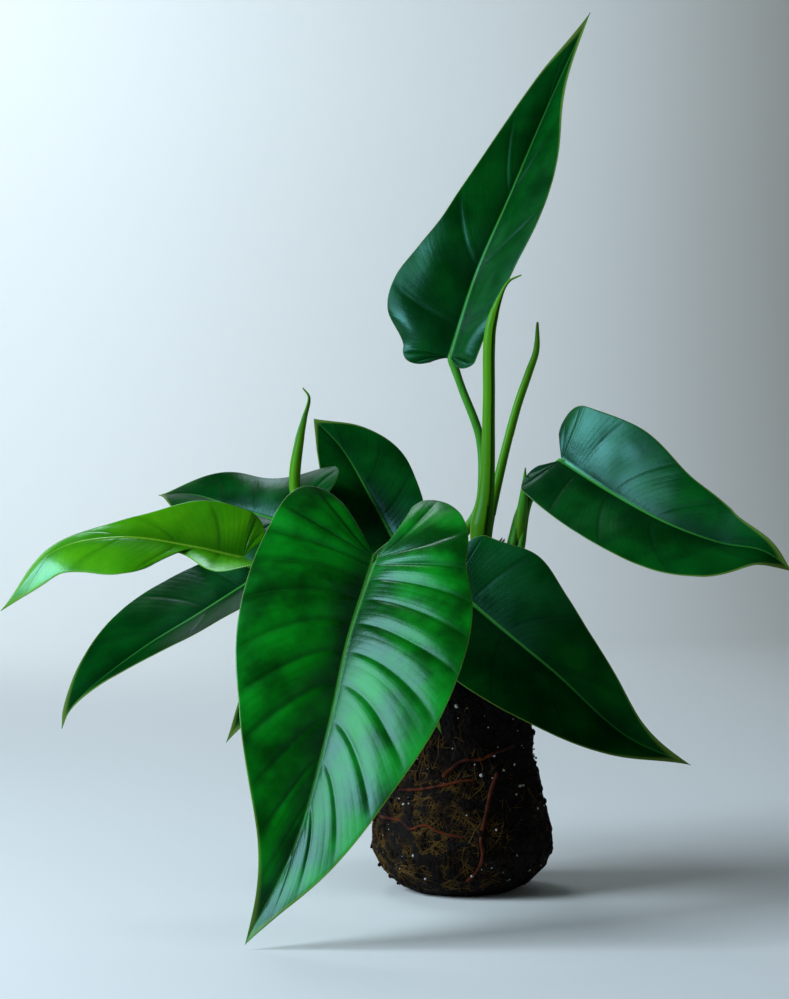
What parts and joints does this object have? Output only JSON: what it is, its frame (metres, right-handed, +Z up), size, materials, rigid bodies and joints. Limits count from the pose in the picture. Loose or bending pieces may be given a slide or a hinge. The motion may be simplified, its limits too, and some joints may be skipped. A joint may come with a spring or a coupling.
{
  "type": "potted philodendron",
  "caption": "Young climbing philodendron out of its pot: long heart-shaped glossy leaves and rolled spear leaves on arching petioles, standing on its bare root ball.",
  "frame": {"origin": "centre of the flat underside of the root ball", "axes": "+Z up along the stems, +X to the right and -Y towards the viewer as in the picture"},
  "size_m": [0.4914, 0.3217, 0.6002],
  "materials": {
    "mature_leaf": "satin",
    "front_leaf": "satin",
    "young_leaf": "gloss",
    "petiole": "satin",
    "spear": "satin",
    "stem": "matte",
    "dried_sheath": "matte",
    "soil": "matte"
  },
  "bodies": {
    "root": {"root_ball": "soil", "stem_main": "stem", "stem_back": "stem", "stem_left": "stem", "tall_blade": "mature_leaf", "tall_petiole": "petiole", "right_blade": "mature_leaf", "right_petiole": "petiole", "low_right_blade": "mature_leaf", "low_right_petiole": "petiole", "front_blade": "front_leaf", "front_petiole": "petiole", "back_blade": "mature_leaf", "back_petiole": "petiole", "young_blade": "young_leaf", "young_petiole": "petiole", "left_back_blade": "mature_leaf", "left_back_petiole": "petiole", "low_left_blade": "mature_leaf", "low_left_petiole": "petiole", "hidden_left_blade": "mature_leaf", "hidden_left_petiole": "petiole", "hidden_front_blade": "mature_leaf", "hidden_front_petiole": "petiole", "spear_tall": "spear", "spear_right": "spear", "spear_left": "spear", "dried_sheath_back": "dried_sheath", "dried_sheath_main": "dried_sheath"}
  },
  "joints": []
}
